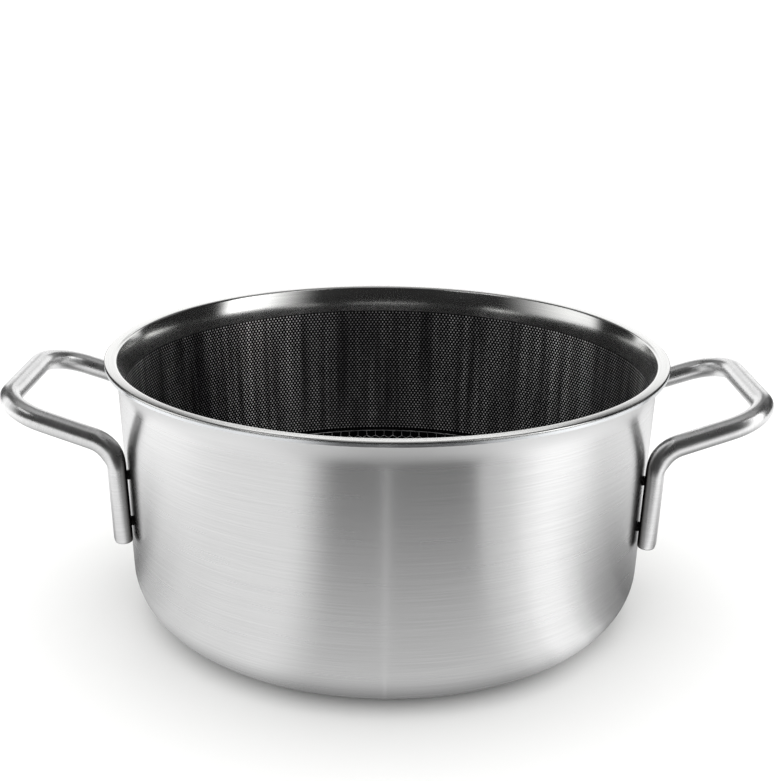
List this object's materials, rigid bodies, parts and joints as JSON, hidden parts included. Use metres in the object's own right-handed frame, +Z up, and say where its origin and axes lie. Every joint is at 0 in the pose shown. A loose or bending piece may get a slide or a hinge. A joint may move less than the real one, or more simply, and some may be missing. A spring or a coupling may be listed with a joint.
{
  "type": "cooking pot",
  "caption": "Open round clad-steel cooking pot with tapered wall, rounded base corner, flared pouring lip, dark non-stick inside and a welded loop handle of bent rod on each side.",
  "frame": {"origin": "middle of the flat base, on the surface that the pot stands on", "axes": "+X towards the right handle, +Z up out of the pot, and the front faces -Y"},
  "size_m": [0.344, 0.2548, 0.122],
  "materials": {
    "brushed_outer_steel": "fine brushing round the wall",
    "core_aluminium": "mill finish, shown only as a line in the lip's cut edge",
    "polished_inner_steel": "polished",
    "nonstick_black": "satin black coating",
    "handle_steel": "polished",
    "weld_steel": "dark, as welded"
  },
  "bodies": {
    "root": {"outer_ply": "brushed_outer_steel", "aluminium_core": "core_aluminium", "inner_ply": "polished_inner_steel", "nonstick_coating": "nonstick_black", "left_handle": "handle_steel", "right_handle": "handle_steel", "left_front_lower_weld": "weld_steel", "left_front_upper_weld": "weld_steel", "left_rear_lower_weld": "weld_steel", "left_rear_upper_weld": "weld_steel", "right_front_lower_weld": "weld_steel", "right_front_upper_weld": "weld_steel", "right_rear_lower_weld": "weld_steel", "right_rear_upper_weld": "weld_steel"}
  },
  "joints": []
}
